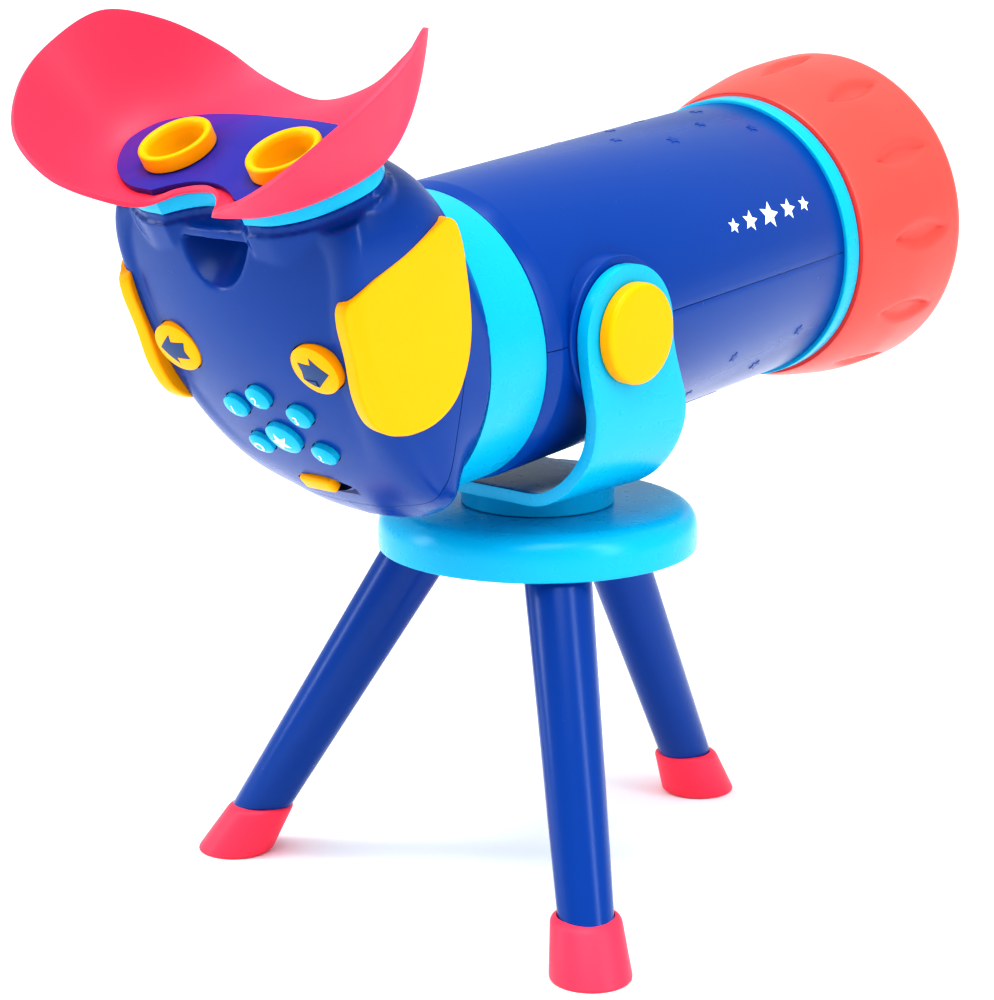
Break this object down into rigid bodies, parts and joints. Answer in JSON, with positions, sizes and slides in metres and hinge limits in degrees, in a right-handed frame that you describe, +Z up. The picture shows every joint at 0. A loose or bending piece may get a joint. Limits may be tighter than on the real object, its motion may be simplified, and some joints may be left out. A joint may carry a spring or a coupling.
{
  "type": "telescope on tripod",
  "caption": "Child's talking telescope with a face visor, twin eyecups and a sloping key panel, tilting in a yoke that turns on a low splayed tripod.",
  "frame": {"origin": "on the floor under the middle of the outline box", "axes": "+Z up, +Y towards the open front of the barrel, +X to the right of a person looking in"},
  "size_m": [0.2352, 0.4178, 0.3573],
  "materials": {
    "blue_plastic": "satin",
    "navy_plastic": "matte",
    "cyan_plastic": "satin",
    "red_rubber": "matte",
    "red_plastic": "satin",
    "yellow_plastic": "satin",
    "steel": "brushed",
    "clear_plastic": "polished",
    "circuit_board": "satin",
    "black_plastic": "matte",
    "film": "gloss",
    "cell_jacket": "gloss"
  },
  "bodies": {
    "stand": {"hub_disc": "cyan_plastic", "hub_cover": "cyan_plastic", "leg_left": "blue_plastic", "foot_left": "red_rubber", "leg_right": "blue_plastic", "foot_right": "red_rubber", "leg_rear": "blue_plastic", "foot_rear": "red_rubber"},
    "yoke": {"yoke": "cyan_plastic", "swivel_washer": "steel", "swivel_screw": "steel", "pivot_cap_left": "yellow_plastic", "pivot_cap_right": "yellow_plastic", "pivot_pin_left": "steel", "pivot_pin_right": "steel"},
    "telescope": {"tube_upper": "blue_plastic", "tube_lower": "blue_plastic", "battery_door": "blue_plastic", "battery_door_screw": "steel", "front_ring": "cyan_plastic", "head_front_shell": "blue_plastic", "head_rear_shell": "blue_plastic", "rear_ring": "cyan_plastic", "side_panel_right": "yellow_plastic", "side_panel_left": "yellow_plastic", "eyepiece_plate": "navy_plastic", "eyepiece_gasket": "cyan_plastic", "eyecup_left": "yellow_plastic", "eye_lens_left": "clear_plastic", "eyecup_right": "yellow_plastic", "eye_lens_right": "clear_plastic", "visor": "red_rubber", "circuit_board": "circuit_board", "speaker": "black_plastic", "wheel_motor": "steel", "lamp": "clear_plastic", "battery_cradle": "black_plastic", "battery_1": "cell_jacket", "battery_2": "cell_jacket", "battery_3": "cell_jacket"},
    "bell": {"focus_bell": "red_plastic", "front_window": "clear_plastic"},
    "picture_wheel": {"image_wheel": "film"},
    "slider": {"power_slider": "yellow_plastic"},
    "arrow_back": {"arrow_back": "yellow_plastic"},
    "arrow_next": {"arrow_next": "yellow_plastic"},
    "key_one": {"key_one": "cyan_plastic"},
    "key_two": {"key_two": "cyan_plastic"},
    "key_three": {"key_three": "cyan_plastic"},
    "key_round": {"key_round": "cyan_plastic"},
    "key_query": {"key_query": "cyan_plastic"},
    "key_star": {"key_star": "cyan_plastic"}
  },
  "joints": [
    {"name": "pan", "type": "hinge", "parent": "stand", "child": "yoke", "pos_m": [0.00747, -0.00049, 0.16], "axis": [0, 0, 1], "continuous": true},
    {"name": "tilt", "type": "hinge", "parent": "yoke", "child": "telescope", "pos_m": [0.00747, -0.02349, 0.23608], "axis": [1, 0, 0], "range_deg": [-12, 9]},
    {"name": "focus_turn", "type": "hinge", "parent": "telescope", "child": "bell", "pos_m": [0.00747, 0.16883, 0.25334], "axis": [0, 0.996, 0.0894], "range_deg": [-90, 90]},
    {"name": "wheel_turn", "type": "hinge", "parent": "telescope", "child": "picture_wheel", "pos_m": [0.00747, -0.0924, 0.24194], "axis": [0, 0.996, 0.0894], "continuous": true},
    {"name": "power_slide", "type": "slide", "parent": "telescope", "child": "slider", "axis": [1, 0, 0], "range_m": [-0.0018, 0.0064]},
    {"name": "arrow_back_press", "type": "slide", "parent": "telescope", "child": "arrow_back", "axis": [0, 0.8903, 0.4554], "range_m": [0, 0.0015], "stiffness_N_per_m": 400},
    {"name": "arrow_next_press", "type": "slide", "parent": "telescope", "child": "arrow_next", "axis": [0, 0.8903, 0.4554], "range_m": [0, 0.0015], "stiffness_N_per_m": 400},
    {"name": "key_one_press", "type": "slide", "parent": "telescope", "child": "key_one", "axis": [0, 0.8128, 0.5826], "range_m": [0, 0.0015], "stiffness_N_per_m": 400},
    {"name": "key_two_press", "type": "slide", "parent": "telescope", "child": "key_two", "axis": [0, 0.8339, 0.5519], "range_m": [0, 0.0015], "stiffness_N_per_m": 400},
    {"name": "key_three_press", "type": "slide", "parent": "telescope", "child": "key_three", "axis": [0, 0.8128, 0.5826], "range_m": [0, 0.0015], "stiffness_N_per_m": 400},
    {"name": "key_round_press", "type": "slide", "parent": "telescope", "child": "key_round", "axis": [0, 0.7537, 0.6572], "range_m": [0, 0.0015], "stiffness_N_per_m": 400},
    {"name": "key_query_press", "type": "slide", "parent": "telescope", "child": "key_query", "axis": [0, 0.7537, 0.6572], "range_m": [0, 0.0015], "stiffness_N_per_m": 400},
    {"name": "key_star_press", "type": "slide", "parent": "telescope", "child": "key_star", "axis": [0, 0.7707, 0.6372], "range_m": [0, 0.0015], "stiffness_N_per_m": 400}
  ]
}
